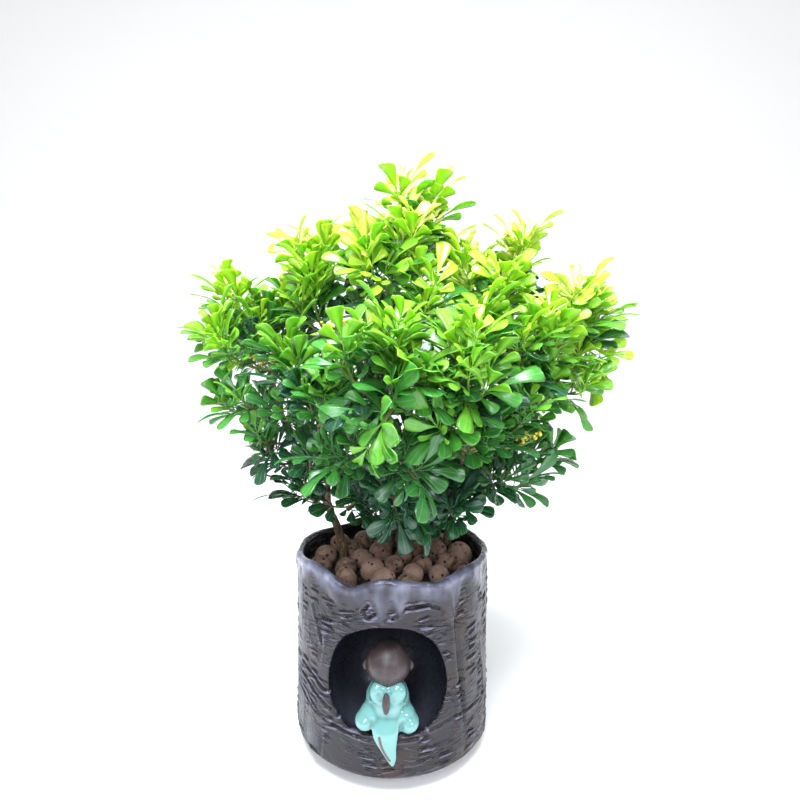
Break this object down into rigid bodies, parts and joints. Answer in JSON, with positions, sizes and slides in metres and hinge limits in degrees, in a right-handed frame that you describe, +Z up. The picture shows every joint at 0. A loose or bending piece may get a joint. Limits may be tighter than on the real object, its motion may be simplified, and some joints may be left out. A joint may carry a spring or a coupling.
{
  "type": "potted chinese perfume tree bonsai",
  "caption": "Small evergreen shrub with compound spoon-shaped leaves and tiny yellow flowers, in a stump-shaped pot with a niche holding a kneeling figure.",
  "frame": {"origin": "middle of the pot's flat foot, on the surface that the pot stands on", "axes": "+Z up along the pot's axis, -Y the front with the niche, +X to the right as seen from the front"},
  "size_m": [0.3756, 0.3665, 0.4946],
  "materials": {
    "pot": "satin",
    "soil": "matte",
    "clay_balls": "matte",
    "figure_bisque": "satin",
    "figure_glaze": "gloss",
    "bark": "matte",
    "leaf_young": "satin",
    "leaf_grown": "gloss",
    "flower": "matte"
  },
  "bodies": {
    "root": {"pot": "pot", "soil": "soil", "pebbles": "clay_balls", "figure_head": "figure_bisque", "figure_hands": "figure_bisque", "figure_robe": "figure_glaze", "stem_left": "bark", "stem_centre": "bark", "stem_right": "bark", "stem_back": "bark", "flowers_01": "flower", "flowers_02": "flower", "flowers_03": "flower", "flowers_04": "flower", "flowers_05": "flower", "flowers_06": "flower", "spray_01": "leaf_young", "spray_02": "leaf_young", "spray_03": "leaf_young", "spray_04": "leaf_young", "spray_05": "leaf_young", "spray_06": "leaf_young", "spray_07": "leaf_young", "spray_08": "leaf_young", "spray_09": "leaf_young", "spray_10": "leaf_young", "spray_11": "leaf_young", "spray_12": "leaf_young", "spray_13": "leaf_young", "spray_14": "leaf_young", "spray_15": "leaf_young", "spray_16": "leaf_young", "spray_17": "leaf_young", "spray_18": "leaf_grown", "spray_19": "leaf_young", "spray_20": "leaf_grown", "spray_21": "leaf_grown", "spray_22": "leaf_grown", "spray_23": "leaf_grown", "spray_24": "leaf_grown", "spray_25": "leaf_grown", "spray_26": "leaf_grown", "spray_27": "leaf_grown", "spray_28": "leaf_grown", "spray_29": "leaf_grown", "spray_30": "leaf_grown", "spray_31": "leaf_grown", "spray_32": "leaf_grown", "spray_33": "leaf_grown", "spray_34": "leaf_young", "spray_35": "leaf_young", "spray_36": "leaf_young", "spray_37": "leaf_young", "spray_38": "leaf_young", "spray_39": "leaf_young", "spray_40": "leaf_grown", "spray_41": "leaf_grown", "spray_42": "leaf_grown", "spray_43": "leaf_grown", "spray_44": "leaf_grown"}
  },
  "joints": []
}
